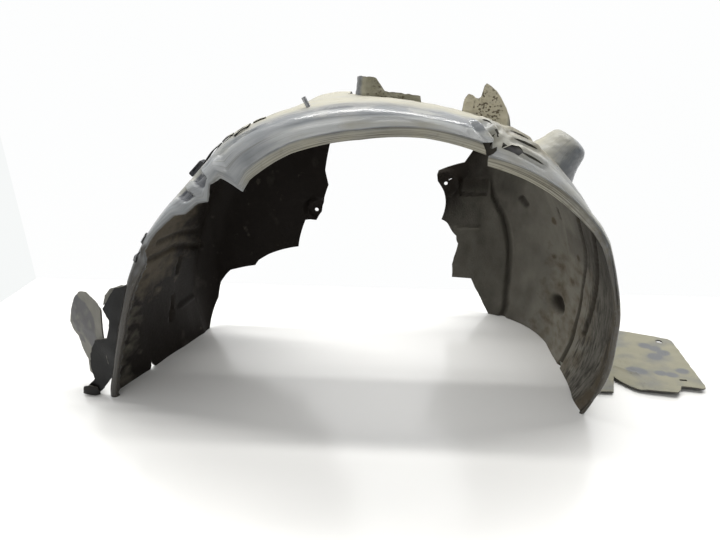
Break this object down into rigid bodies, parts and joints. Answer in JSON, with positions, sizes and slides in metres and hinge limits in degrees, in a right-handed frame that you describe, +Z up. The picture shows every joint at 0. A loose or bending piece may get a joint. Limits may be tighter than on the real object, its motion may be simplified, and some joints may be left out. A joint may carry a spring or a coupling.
{
  "type": "wheel arch liner",
  "caption": "Moulded plastic liner for a front wheel arch, standing on its legs, with a torn lip, strut opening collar, hollow cone, side panels and flat under tray.",
  "frame": {"origin": "bottom centre of the outer box, on the ground plane under the two legs", "axes": "+X from the front leg to the rear leg and under tray, +Y inboard from the arch lip, +Z up"},
  "size_m": [1.0672, 0.345, 0.485],
  "materials": {
    "liner": "black polypropylene, dusty and muddy",
    "clip": "black nylon",
    "rivet": "dull, dusty"
  },
  "bodies": {
    "root": {"liner": "liner", "edge_clip": "clip", "rivet": "rivet"}
  },
  "joints": []
}
